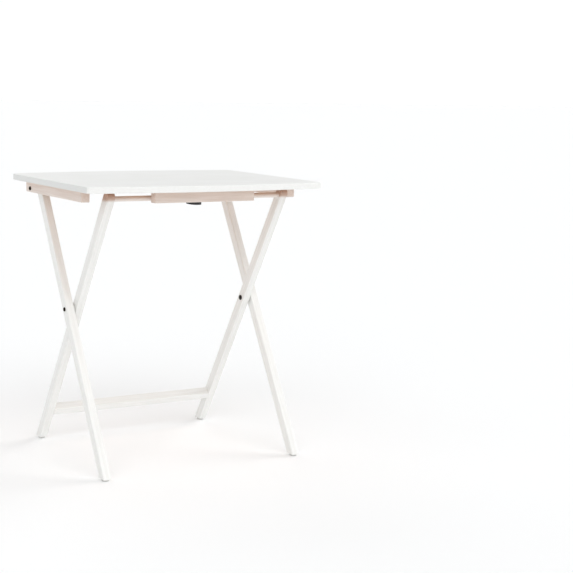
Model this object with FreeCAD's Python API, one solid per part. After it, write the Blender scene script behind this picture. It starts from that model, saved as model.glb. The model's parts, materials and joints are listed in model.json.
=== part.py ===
import FreeCAD, Part
import math
import os

# Folding tray table, standing open.
# A bowed wooden top rests on two pairs of crossed wooden legs. The outer pair is pivoted to two cleats
# at the back of the top and stands on the front feet. The inner pair carries a round locking dowel
# behind a stop block at the front of the top, stands on the back feet and is braced by a stretcher.
#
# Frame: +X to the right, +Y to the back, +Z up. The origin is on the floor, under the middle of the top.
# Everything is symmetric about the X = 0 plane except the turn latch, so the right side is drawn and
# the left side is its mirror image. All sizes are in millimetres.

V = FreeCAD.Vector

# Top panel
TABLE_HEIGHT = 660.0
TOP_WIDTH = 609.0
TOP_DEPTH = 479.0
TOP_BOW = 22.0
TOP_THICKNESS = 14.5
TOP_CORNER_RADIUS = 12.0
TOP_EDGE_EASE = 2.2
UNDERSIDE_EDGE_EASE = 0.8

# Legs: width lies in the plane in which they swing, thickness along X
LEG_WIDTH = 24.0
LEG_THICKNESS = 19.0
LEG_EDGE_EASE = 2.0
OUTER_LEG_FACE_X = 260.0
LEG_GAP = 4.5
LEG_CROWN_REACH = 5.0
PIVOT_HALF_SPACING = 159.0
FOOT_HALF_SPACING = 210.5
PIVOT_BELOW_TOP = 18.0

# Rails under the top: two cleats and the stop block, all from the same stock
RAIL_HEIGHT = 27.0
RAIL_THICKNESS = 20.0
RAIL_EDGE_EASE = 1.5
CLEAT_TO_LEG = 1.2
CLEAT_FRONT_Y = -132.0
CLEAT_BACK_Y = 184.0
BLOCK_LENGTH = 259.0
BLOCK_TO_DOWEL = 10.0

# Cross members of the inner legs
DOWEL_DIAMETER = 12.0
DOWEL_SOCKET_DEPTH = 15.0
STRETCHER_UP_LEG = 94.5
STRETCHER_PIN_DIAMETER = 8.0
STRETCHER_PIN_LENGTH = 30.0
STRETCHER_PIN_IN_LEG = 12.0
STRETCHER_PIN_SPACING = 12.0

# Joint bolts with sleeve nuts
BOLT_DIAMETER = 6.0
RUNNING_CLEARANCE = 0.05
BOLT_HEAD_DIAMETER = 10.0
BOLT_HEAD_HEIGHT = 2.6
BOLT_HEAD_EASE = 0.9
NUT_FLANGE_DIAMETER = 13.0
NUT_FLANGE_HEIGHT = 1.6
NUT_FLANGE_EASE = 0.6
NUT_SLEEVE_DIAMETER = 9.0
NUT_SLEEVE_LENGTH = 12.0
NUT_THREAD_DEPTH = 9.0
BOLT_TIP_SHORT_OF_THREAD_END = 2.0
HEX_KEY = 4.0
HEX_SOCKET_DEPTH = 1.8
SPACER_DIAMETER = 20.0
CLEAT_WASHER_DIAMETER = 16.0
FACE_CLEARANCE = 0.1

# Turn latch under the stop block
LATCH_PIVOT_X = -15.0
LATCH_END_RADIUS = 8.5
LATCH_REACH = 20.5
LATCH_THICKNESS = 5.8
LATCH_CROWN_X = -20.0
LATCH_CROWN_RADIUS = 92.0
LATCH_TO_BLOCK = 0.3
LATCH_EDGE_EASE = 1.2
LATCH_COUNTERBORE_DIAMETER = 10.0
LATCH_COUNTERBORE_FLOOR = 2.2
LATCH_WASHER_DIAMETER = 9.4
LATCH_WASHER_THICKNESS = 0.8
LATCH_SCREW_DIAMETER = 4.0
LATCH_SCREW_IN_BLOCK = 18.0
LATCH_HEAD_DIAMETER = 8.0
LATCH_HEAD_HEIGHT = 2.4
LATCH_HEAD_EASE = 1.4

# Wood screws, brads and foot glides
SCREW_DIAMETER = 4.0
SCREW_LENGTH = 35.0
SCREW_HEAD_DIAMETER = 8.0
SCREW_HEAD_HEIGHT = 2.6
SCREW_POINT_LENGTH = 5.0
SCREW_POINT_RADIUS = 0.3
CROSS_RECESS_WIDTH = 1.1
CROSS_RECESS_SPAN = 4.4
CROSS_RECESS_DEPTH = 1.4
CLEAT_SCREW_Y = (-112.0, 12.0, 136.0)
BLOCK_SCREW_X = (-95.0, 95.0)
BRAD_DIAMETER = 1.6
BRAD_LENGTH = 20.0
BRAD_HEAD_DIAMETER = 3.0
BRAD_HEAD_HEIGHT = 0.8
GLIDE_HEIGHT = 5.0
GLIDE_DIAMETER = 17.0
GLIDE_EDGE_EASE = 1.8
NAIL_DIAMETER = 2.5
NAIL_LENGTH = 20.0
NAIL_HEAD_DIAMETER = 7.0
NAIL_HEAD_HEIGHT = 1.2
NAIL_HEAD_INSET = 1.5

# Worked out from the sizes above
UNDERSIDE_Z = TABLE_HEIGHT - TOP_THICKNESS
PIVOT_Z = UNDERSIDE_Z - PIVOT_BELOW_TOP
RAIL_BOTTOM_Z = UNDERSIDE_Z - RAIL_HEIGHT
LEG_LEAN = math.atan2(PIVOT_HALF_SPACING + FOOT_HALF_SPACING, PIVOT_Z)
CROSS_Z = PIVOT_Z * FOOT_HALF_SPACING / (PIVOT_HALF_SPACING + FOOT_HALF_SPACING)
OUTER_LEG_X = OUTER_LEG_FACE_X - LEG_THICKNESS
INNER_LEG_X = OUTER_LEG_X - LEG_GAP - LEG_THICKNESS
CLEAT_X = OUTER_LEG_FACE_X + CLEAT_TO_LEG
BLOCK_BACK_Y = -(PIVOT_HALF_SPACING + DOWEL_DIAMETER / 2 + BLOCK_TO_DOWEL)
BLOCK_MIDDLE_Y = BLOCK_BACK_Y - RAIL_THICKNESS / 2
LATCH_TOP_Z = RAIL_BOTTOM_Z - LATCH_TO_BLOCK
BOLT_RADIUS = BOLT_DIAMETER / 2
BOLT_HOLE_RADIUS = BOLT_RADIUS + RUNNING_CLEARANCE
SLEEVE_HOLE_RADIUS = NUT_SLEEVE_DIAMETER / 2 + RUNNING_CLEARANCE

# A leg that leans back stands on a front foot; a leg that leans forward stands on a back foot.
LEANS_BACK = 1
LEANS_FORWARD = -1


def mirrored(shape):
    """The same piece on the left side of the table."""
    return shape.mirror(V(0, 0, 0), V(1, 0, 0))


def upward(lean):
    """Unit vector up along a leg's length."""
    return V(0, lean * math.sin(LEG_LEAN), math.cos(LEG_LEAN))


def across(lean):
    """Unit vector across a leg's width, pointing to the side that faces the floor."""
    return V(0, lean * math.cos(LEG_LEAN), -math.sin(LEG_LEAN))


def pivot_point(lean, x=0.0):
    return V(x, lean * PIVOT_HALF_SPACING, PIVOT_Z)


def rod(radius, start, direction, length):
    return Part.makeCylinder(radius, length, start, direction)


def outward(radius, start, length):
    """A cylinder along +X, from the middle of the table to its side."""
    return rod(radius, start, V(1, 0, 0), length)


def ease_long_edges(shape, radius, axis):
    """Rounds the edges of a bar that run along one row axis: 0, 1 or 2 for X, Y or Z."""
    edges = []
    for edge in shape.Edges:
        run = edge.Vertexes[-1].Point - edge.Vertexes[0].Point
        if abs(abs(run[axis]) - run.Length) < 1e-6:
            edges.append(edge)
    return shape.makeFillet(radius, edges)


def horizontal_edges(shape, z):
    return [edge for edge in shape.Edges if all(abs(v.Z - z) < 1e-6 for v in edge.Vertexes)]


def upright_edges(shape, x):
    return [edge for edge in shape.Edges if all(abs(v.X - x) < 1e-6 for v in edge.Vertexes)]


def hexagon_prism(across_flats, start, direction, depth):
    """A hexagon key's shape, along +X or -X."""
    corner = across_flats / math.sqrt(3.0)
    points = []
    for turn in range(7):
        angle = math.radians(60.0 * turn)
        points.append(start + V(0, corner * math.cos(angle), corner * math.sin(angle)))
    return Part.Face(Part.makePolygon(points)).extrude(direction * depth)


def top_panel():
    """A board with straight short sides, bowed long sides and rounded corners."""
    half_width = TOP_WIDTH / 2
    corner_y = TOP_DEPTH / 2 - TOP_BOW
    z = UNDERSIDE_Z
    front = Part.Arc(V(-half_width, -corner_y, z), V(0, -TOP_DEPTH / 2, z), V(half_width, -corner_y, z))
    right = Part.LineSegment(V(half_width, -corner_y, z), V(half_width, corner_y, z))
    back = Part.Arc(V(half_width, corner_y, z), V(0, TOP_DEPTH / 2, z), V(-half_width, corner_y, z))
    left = Part.LineSegment(V(-half_width, corner_y, z), V(-half_width, -corner_y, z))
    outline = Part.Wire([side.toShape() for side in (front, right, back, left)])
    board = Part.Face(outline).extrude(V(0, 0, TOP_THICKNESS))
    board = ease_long_edges(board, TOP_CORNER_RADIUS, 2)
    board = board.makeFillet(TOP_EDGE_EASE, horizontal_edges(board, TABLE_HEIGHT))
    return board.makeFillet(UNDERSIDE_EDGE_EASE, horizontal_edges(board, UNDERSIDE_Z))


def cleat_blank():
    """The rail under one short side, to which an outer leg is pivoted."""
    length = CLEAT_BACK_Y - CLEAT_FRONT_Y
    bar = Part.makeBox(RAIL_THICKNESS, length, RAIL_HEIGHT, V(CLEAT_X, CLEAT_FRONT_Y, RAIL_BOTTOM_Z))
    return bar.makeFillet(RAIL_EDGE_EASE, horizontal_edges(bar, RAIL_BOTTOM_Z))


def block_blank():
    """The block in front of the locking dowel, which carries the turn latch."""
    corner = V(-BLOCK_LENGTH / 2, BLOCK_BACK_Y - RAIL_THICKNESS, RAIL_BOTTOM_Z)
    bar = Part.makeBox(BLOCK_LENGTH, RAIL_THICKNESS, RAIL_HEIGHT, corner)
    return bar.makeFillet(RAIL_EDGE_EASE, horizontal_edges(bar, RAIL_BOTTOM_Z))


def leg_blank(lean, x):
    """A square bar with a round crown above its pivot and a level cut above its glide."""
    up = upward(lean)
    half = across(lean) * (LEG_WIDTH / 2)
    crown = pivot_point(lean, x) + up * LEG_CROWN_REACH
    under = crown + half
    over = crown - half
    under_foot = under - up * ((under.z - GLIDE_HEIGHT) / up.z)
    over_foot = over - up * ((over.z - GLIDE_HEIGHT) / up.z)
    sides = [
        Part.LineSegment(over_foot, over),
        Part.Arc(over, crown + up * (LEG_WIDTH / 2), under),
        Part.LineSegment(under, under_foot),
        Part.LineSegment(under_foot, over_foot),
    ]
    leg = Part.Face(Part.Wire([side.toShape() for side in sides])).extrude(V(LEG_THICKNESS, 0, 0))
    eased = []
    for edge in leg.Edges:
        on_one_face = abs(edge.Vertexes[0].X - edge.Vertexes[-1].X) < 1e-6
        at_foot = all(abs(v.Z - GLIDE_HEIGHT) < 1e-6 for v in edge.Vertexes)
        if on_one_face and not at_foot:
            eased.append(edge)
    return leg.makeFillet(LEG_EDGE_EASE, eased)


def bolt_holes(point, far_x, near_x, sleeve_x):
    """The running hole of a joint bolt from near_x to far_x, and the wider one for its sleeve nut."""
    shank = outward(BOLT_HOLE_RADIUS, V(near_x, point.y, point.z), far_x - near_x)
    sleeve_length = NUT_SLEEVE_LENGTH + 2 * FACE_CLEARANCE
    sleeve = outward(SLEEVE_HOLE_RADIUS, V(sleeve_x, point.y, point.z), sleeve_length)
    return shank.fuse(sleeve)


def joint_bolt(point, seat_x, tip_x):
    """A low-headed bolt on the right side: its head is outside seat_x and its tip is at tip_x."""
    head = outward(BOLT_HEAD_DIAMETER / 2, V(seat_x, point.y, point.z), BOLT_HEAD_HEIGHT)
    head = head.makeFillet(BOLT_HEAD_EASE, upright_edges(head, seat_x + BOLT_HEAD_HEIGHT))
    shank = outward(BOLT_RADIUS, V(tip_x, point.y, point.z), seat_x - tip_x)
    socket_start = V(seat_x + BOLT_HEAD_HEIGHT, point.y, point.z)
    socket = hexagon_prism(HEX_KEY, socket_start, V(-1, 0, 0), HEX_SOCKET_DEPTH)
    return head.fuse(shank).removeSplitter().cut(socket)


def sleeve_nut(point, face_x):
    """The bolt's nut: a flange on the leg's inner face at face_x, and a sleeve inside the leg."""
    flange_x = face_x - FACE_CLEARANCE - NUT_FLANGE_HEIGHT
    flange = outward(NUT_FLANGE_DIAMETER / 2, V(flange_x, point.y, point.z), NUT_FLANGE_HEIGHT)
    flange = flange.makeFillet(NUT_FLANGE_EASE, upright_edges(flange, flange_x))
    sleeve_start = flange_x + NUT_FLANGE_HEIGHT
    sleeve = outward(NUT_SLEEVE_DIAMETER / 2, V(sleeve_start, point.y, point.z), NUT_SLEEVE_LENGTH)
    thread_x = sleeve_start + NUT_SLEEVE_LENGTH - NUT_THREAD_DEPTH
    thread = outward(BOLT_HOLE_RADIUS, V(thread_x, point.y, point.z), NUT_THREAD_DEPTH)
    socket = hexagon_prism(HEX_KEY, V(flange_x, point.y, point.z), V(1, 0, 0), HEX_SOCKET_DEPTH)
    return flange.fuse(sleeve).removeSplitter().cut(thread).cut(socket)


def washer(point, x, diameter, thickness):
    ring = outward(diameter / 2, V(x, point.y, point.z), thickness)
    hole = outward(BOLT_HOLE_RADIUS, V(x, point.y, point.z), thickness)
    return ring.cut(hole)


def cross_recess(point, direction):
    """The cross in a screw head, cut from the head's face along direction, which is +Z."""
    half = CROSS_RECESS_SPAN / 2
    narrow = CROSS_RECESS_WIDTH / 2
    first = Part.makeBox(2 * half, 2 * narrow, CROSS_RECESS_DEPTH, point - V(half, narrow, 0), direction)
    second = Part.makeBox(2 * narrow, 2 * half, CROSS_RECESS_DEPTH, point - V(narrow, half, 0), direction)
    return first.fuse(second)


def wood_screw(x, y):
    """A countersunk screw that comes up through a rail into the top panel."""
    up = V(0, 0, 1)
    foot = V(x, y, RAIL_BOTTOM_Z)
    body_length = SCREW_LENGTH - SCREW_HEAD_HEIGHT - SCREW_POINT_LENGTH
    neck = foot + up * SCREW_HEAD_HEIGHT
    head = Part.makeCone(SCREW_HEAD_DIAMETER / 2, SCREW_DIAMETER / 2, SCREW_HEAD_HEIGHT, foot, up)
    body = rod(SCREW_DIAMETER / 2, neck, up, body_length)
    tip = neck + up * body_length
    point = Part.makeCone(SCREW_DIAMETER / 2, SCREW_POINT_RADIUS, SCREW_POINT_LENGTH, tip, up)
    return head.fuse([body, point]).removeSplitter(), cross_recess(foot, up)


def turn_latch():
    """An oblong button with a crowned underside. It lies along the stop block and turns under the dowel."""
    z = LATCH_TOP_Z - LATCH_THICKNESS
    r = LATCH_END_RADIUS
    tip_x = LATCH_PIVOT_X - LATCH_REACH
    y = BLOCK_MIDDLE_Y
    up = V(0, 0, 1)
    sides = [
        Part.LineSegment(V(LATCH_PIVOT_X, y + r, z), V(tip_x, y + r, z)),
        Part.Arc(V(tip_x, y + r, z), V(tip_x - r, y, z), V(tip_x, y - r, z)),
        Part.LineSegment(V(tip_x, y - r, z), V(LATCH_PIVOT_X, y - r, z)),
        Part.Arc(V(LATCH_PIVOT_X, y - r, z), V(LATCH_PIVOT_X + r, y, z), V(LATCH_PIVOT_X, y + r, z)),
    ]
    outline = Part.Wire([side.toShape() for side in sides])
    button = Part.Face(outline).extrude(V(0, 0, LATCH_THICKNESS))
    crown_start = V(LATCH_CROWN_X, y - 2 * r, z + LATCH_CROWN_RADIUS)
    button = button.common(rod(LATCH_CROWN_RADIUS, crown_start, V(0, 1, 0), 4 * r))
    below = LATCH_TOP_Z - LATCH_EDGE_EASE
    lower_edges = [edge for edge in button.Edges if all(v.Z < below for v in edge.Vertexes)]
    button = button.makeFillet(LATCH_EDGE_EASE, lower_edges)
    pivot = V(LATCH_PIVOT_X, y, z)
    hole = rod(LATCH_SCREW_DIAMETER / 2 + 2 * RUNNING_CLEARANCE, pivot, up, LATCH_THICKNESS)
    counterbore = rod(LATCH_COUNTERBORE_DIAMETER / 2, pivot, up, LATCH_THICKNESS - LATCH_COUNTERBORE_FLOOR)
    return button.cut([hole, counterbore])


def latch_hardware():
    """The latch's washer and the round-headed screw it turns on, both inside its counterbore."""
    up = V(0, 0, 1)
    radius = LATCH_SCREW_DIAMETER / 2
    washer_z = LATCH_TOP_Z - LATCH_COUNTERBORE_FLOOR - FACE_CLEARANCE - LATCH_WASHER_THICKNESS
    centre = V(LATCH_PIVOT_X, BLOCK_MIDDLE_Y, washer_z)
    ring = rod(LATCH_WASHER_DIAMETER / 2, centre, up, LATCH_WASHER_THICKNESS)
    ring = ring.cut(rod(radius + RUNNING_CLEARANCE, centre, up, LATCH_WASHER_THICKNESS))
    head_foot = centre - up * LATCH_HEAD_HEIGHT
    head = rod(LATCH_HEAD_DIAMETER / 2, head_foot, up, LATCH_HEAD_HEIGHT)
    head = head.makeFillet(LATCH_HEAD_EASE, horizontal_edges(head, head_foot.z))
    shank_length = RAIL_BOTTOM_Z - washer_z + LATCH_SCREW_IN_BLOCK - SCREW_POINT_LENGTH
    shank = rod(radius, centre, up, shank_length)
    point = Part.makeCone(radius, SCREW_POINT_RADIUS, SCREW_POINT_LENGTH, centre + up * shank_length, up)
    screw = head.fuse([shank, point]).removeSplitter()
    return ring, screw, screw.cut(cross_recess(head_foot, up))


def stretcher_pins(middle):
    """The glued pins that hold the stretcher's right end to the inner leg."""
    pins = []
    for side in (-1, 1):
        centre = middle + across(LEANS_FORWARD) * (side * STRETCHER_PIN_SPACING / 2)
        start = V(INNER_LEG_X + STRETCHER_PIN_IN_LEG - STRETCHER_PIN_LENGTH, centre.y, centre.z)
        pins.append(outward(STRETCHER_PIN_DIAMETER / 2, start, STRETCHER_PIN_LENGTH))
    return pins


def stretcher_blank(middle):
    """A bar between the inner legs, lined up with their width."""
    up = upward(LEANS_FORWARD) * (LEG_THICKNESS / 2)
    side = across(LEANS_FORWARD) * (LEG_WIDTH / 2)
    start = V(-INNER_LEG_X, middle.y, middle.z)
    corners = [start + up + side, start + up - side, start - up - side, start - up + side, start + up + side]
    bar = Part.Face(Part.makePolygon(corners)).extrude(V(2 * INNER_LEG_X, 0, 0))
    return ease_long_edges(bar, LEG_EDGE_EASE, 0)


def dowel_brad():
    """The brad driven down from the back of an inner leg through the end of the locking dowel."""
    into = across(LEANS_FORWARD)
    outside = pivot_point(LEANS_FORWARD, INNER_LEG_X + DOWEL_SOCKET_DEPTH / 2) - into * (LEG_WIDTH / 2)
    head = rod(BRAD_HEAD_DIAMETER / 2, outside, into, BRAD_HEAD_HEIGHT)
    return head.fuse(rod(BRAD_DIAMETER / 2, outside, into, BRAD_LENGTH)).removeSplitter()


def glide_and_nail(lean, leg_x):
    """The plastic glide under a leg's foot, and the nail that holds it."""
    up = V(0, 0, 1)
    foot_y = -lean * (FOOT_HALF_SPACING - GLIDE_HEIGHT * math.tan(LEG_LEAN))
    centre = V(leg_x + LEG_THICKNESS / 2, foot_y, 0)
    glide = rod(GLIDE_DIAMETER / 2, centre, up, GLIDE_HEIGHT)
    glide = glide.makeFillet(GLIDE_EDGE_EASE, horizontal_edges(glide, 0.0))
    seat = centre + up * NAIL_HEAD_INSET
    head = rod(NAIL_HEAD_DIAMETER / 2, seat, up, NAIL_HEAD_HEIGHT)
    nail = head.fuse(rod(NAIL_DIAMETER / 2, seat, up, NAIL_LENGTH)).removeSplitter()
    return glide.cut(nail), nail


def build():
    """Returns every piece of the table by name. A list holds one kind of fastener."""
    pieces = {}
    back_pivot = pivot_point(LEANS_BACK)
    front_pivot = pivot_point(LEANS_FORWARD)
    crossing = V(0, 0, CROSS_Z)

    # Screws up through the rails into the top panel
    panel = top_panel()
    cleat = cleat_blank()
    block = block_blank()
    cleat_screws = []
    for y in CLEAT_SCREW_Y:
        screw, recess = wood_screw(CLEAT_X + RAIL_THICKNESS / 2, y)
        cleat = cleat.cut(screw)
        panel = panel.cut([screw, mirrored(screw)])
        cleat_screws += [screw.cut(recess), mirrored(screw.cut(recess))]
    block_screws = []
    for x in BLOCK_SCREW_X:
        screw, recess = wood_screw(x, BLOCK_MIDDLE_Y)
        block = block.cut(screw)
        panel = panel.cut(screw)
        block_screws.append(screw.cut(recess))
    pieces["top_panel"] = panel
    pieces["cleat_screws"] = cleat_screws
    pieces["block_screws"] = block_screws

    # Turn latch
    latch_washer, screw_body, latch_screw = latch_hardware()
    pieces["stop_block"] = block.cut(screw_body)
    pieces["turn_latch"] = turn_latch()
    pieces["latch_washer"] = latch_washer
    pieces["latch_screw"] = latch_screw

    # Back pivots: cleat, washer, outer leg, sleeve nut
    cleat_face_x = CLEAT_X + RAIL_THICKNESS
    pivot_holes = bolt_holes(back_pivot, cleat_face_x, OUTER_LEG_X, OUTER_LEG_X)
    pivot_tip_x = OUTER_LEG_X + NUT_SLEEVE_LENGTH - NUT_THREAD_DEPTH + BOLT_TIP_SHORT_OF_THREAD_END
    right_pieces = {"cleat": cleat.cut(pivot_holes)}
    right_pieces["pivot_bolt"] = joint_bolt(back_pivot, cleat_face_x + FACE_CLEARANCE, pivot_tip_x)
    right_pieces["pivot_nut"] = sleeve_nut(back_pivot, OUTER_LEG_X)
    pivot_washer_x = OUTER_LEG_FACE_X + FACE_CLEARANCE
    pivot_washer_thickness = CLEAT_TO_LEG - 2 * FACE_CLEARANCE
    pivot_washer = washer(back_pivot, pivot_washer_x, CLEAT_WASHER_DIAMETER, pivot_washer_thickness)
    pieces["pivot_washers"] = [pivot_washer, mirrored(pivot_washer)]

    # Outer legs
    outer_leg = leg_blank(LEANS_BACK, OUTER_LEG_X).cut(pivot_holes)
    cross_holes = bolt_holes(crossing, OUTER_LEG_FACE_X, INNER_LEG_X, INNER_LEG_X)
    outer_leg = outer_leg.cut(cross_holes)
    glide, nail = glide_and_nail(LEANS_BACK, OUTER_LEG_X)
    right_pieces["outer_leg"] = outer_leg.cut(nail)
    right_pieces["front_glide"] = glide
    pieces["front_glide_nails"] = [nail, mirrored(nail)]

    # Crossing bolts, with a spacer between the legs
    cross_tip_x = INNER_LEG_X + NUT_SLEEVE_LENGTH - NUT_THREAD_DEPTH + BOLT_TIP_SHORT_OF_THREAD_END
    spacer_thickness = LEG_GAP - 2 * FACE_CLEARANCE
    spacer_x = INNER_LEG_X + LEG_THICKNESS + FACE_CLEARANCE
    spacer = washer(crossing, spacer_x, SPACER_DIAMETER, spacer_thickness)
    right_pieces["cross_bolt"] = joint_bolt(crossing, OUTER_LEG_FACE_X, cross_tip_x)
    right_pieces["cross_nut"] = sleeve_nut(crossing, INNER_LEG_X)
    right_pieces["cross_spacer"] = spacer

    # Inner legs, locking dowel and stretcher
    inner_leg = leg_blank(LEANS_FORWARD, INNER_LEG_X).cut(cross_holes)
    dowel_end_x = INNER_LEG_X + DOWEL_SOCKET_DEPTH
    dowel_start = V(-dowel_end_x, front_pivot.y, front_pivot.z)
    dowel = outward(DOWEL_DIAMETER / 2, dowel_start, 2 * dowel_end_x)
    brad = dowel_brad()
    stretcher_middle = V(0, FOOT_HALF_SPACING, 0) + upward(LEANS_FORWARD) * STRETCHER_UP_LEG
    pins = stretcher_pins(stretcher_middle)
    left_pins = [mirrored(pin) for pin in pins]
    glide, nail = glide_and_nail(LEANS_FORWARD, INNER_LEG_X)
    right_pieces["inner_leg"] = inner_leg.cut([dowel, brad, nail] + pins)
    right_pieces["back_glide"] = glide
    pieces["lock_dowel"] = dowel.cut([brad, mirrored(brad)])
    pieces["dowel_brads"] = [brad, mirrored(brad)]
    pieces["stretcher"] = stretcher_blank(stretcher_middle).cut(pins + left_pins)
    pieces["stretcher_pins"] = pins + left_pins
    pieces["back_glide_nails"] = [nail, mirrored(nail)]

    for name, shape in right_pieces.items():
        pieces["right_" + name] = shape
        pieces["left_" + name] = mirrored(shape)
    return pieces


def export(pieces):
    os.makedirs("parts", exist_ok=True)
    for name, piece in pieces.items():
        shape = Part.makeCompound(piece) if isinstance(piece, list) else piece
        shape.exportStep("parts/" + name + ".step")
        print(name, "solids", len(shape.Solids), "volume", round(shape.Volume, 1), "valid", shape.isValid())


export(build())
print("leg lean in degrees", round(math.degrees(LEG_LEAN), 4))
print("crossing height", round(CROSS_Z, 3), "pivot height", round(PIVOT_Z, 3))
print("latch pivot", LATCH_PIVOT_X, BLOCK_MIDDLE_Y)
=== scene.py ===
import json
import math

import bmesh
import bpy
from mathutils import Matrix, Vector


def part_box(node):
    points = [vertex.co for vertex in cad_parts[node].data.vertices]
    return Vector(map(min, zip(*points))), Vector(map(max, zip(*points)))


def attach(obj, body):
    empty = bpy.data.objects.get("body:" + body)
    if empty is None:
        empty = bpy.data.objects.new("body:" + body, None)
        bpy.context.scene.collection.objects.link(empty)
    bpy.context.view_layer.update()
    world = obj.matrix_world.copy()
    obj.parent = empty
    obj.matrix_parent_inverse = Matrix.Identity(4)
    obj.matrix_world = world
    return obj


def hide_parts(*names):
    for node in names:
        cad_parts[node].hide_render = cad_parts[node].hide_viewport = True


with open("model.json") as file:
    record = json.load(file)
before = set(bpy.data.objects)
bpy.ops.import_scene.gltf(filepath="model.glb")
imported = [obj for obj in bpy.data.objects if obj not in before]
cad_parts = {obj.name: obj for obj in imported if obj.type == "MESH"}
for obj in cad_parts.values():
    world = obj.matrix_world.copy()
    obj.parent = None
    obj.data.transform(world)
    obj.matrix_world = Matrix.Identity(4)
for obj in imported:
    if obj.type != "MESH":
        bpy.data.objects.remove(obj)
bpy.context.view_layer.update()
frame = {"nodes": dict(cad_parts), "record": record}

# The look of a folding tray table: white satin lacquer over wood, a raw fibreboard underside, dark bolts,
# bright screws, a black turn latch and pale plastic glides. Fasteners, glides, spacers and the latch get
# finer meshes than the CAD has. Lengths are in metres, and small ones are given as millimetres times MM.
# Only lathe, thread, loft and the shapes of the small pieces made with them are in plain millimetres.

MM = 0.001

# Places taken from the frame
TOP_LOW, TOP_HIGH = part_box("top_panel")
UNDERSIDE_Z = TOP_LOW[2]
CROWN_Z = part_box("left_inner_leg")[1][2]
TOP_HALF_WIDTH = TOP_HIGH[0]
TOP_HALF_DEPTH = TOP_HIGH[1]
TOP_BOW = 22.0 * MM
JOINTS = {joint["name"]: joint for joint in frame["record"]["behaviour"]["joints"]}
CROSSING = Vector(JOINTS["leg_fold"]["pos_m"])
BACK_PIVOT = Vector(JOINTS["top_fold"]["pos_m"])
LEG_LEAN = math.atan2(BACK_PIVOT.y - CROSSING.y, BACK_PIVOT.z - CROSSING.z)
LEG_HALF_WIDTH = 12.0 * MM
PIVOT_WASHER_THICKNESS = 1.0 * MM
PIN_HALF_SPACING = 6.0 * MM
SCREW_HEAD_RADIUS = 4.0 * MM
BRAD_HEAD_RADIUS = 1.5 * MM

# The camera stands to the left of the front and looks slightly down
CAMERA_PLACE = (-1.6012, -3.0033, 0.9028)
CAMERA_YAW = math.radians(30.530)
CAMERA_PITCH = math.radians(-7.339)
CAMERA_ROLL = math.radians(1.312)
CAMERA_LENS = 89.376
CAMERA_SHIFT = (0.1073, -0.0462)
SENSOR_WIDTH = 36.0


# ---- Shader building ----

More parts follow.
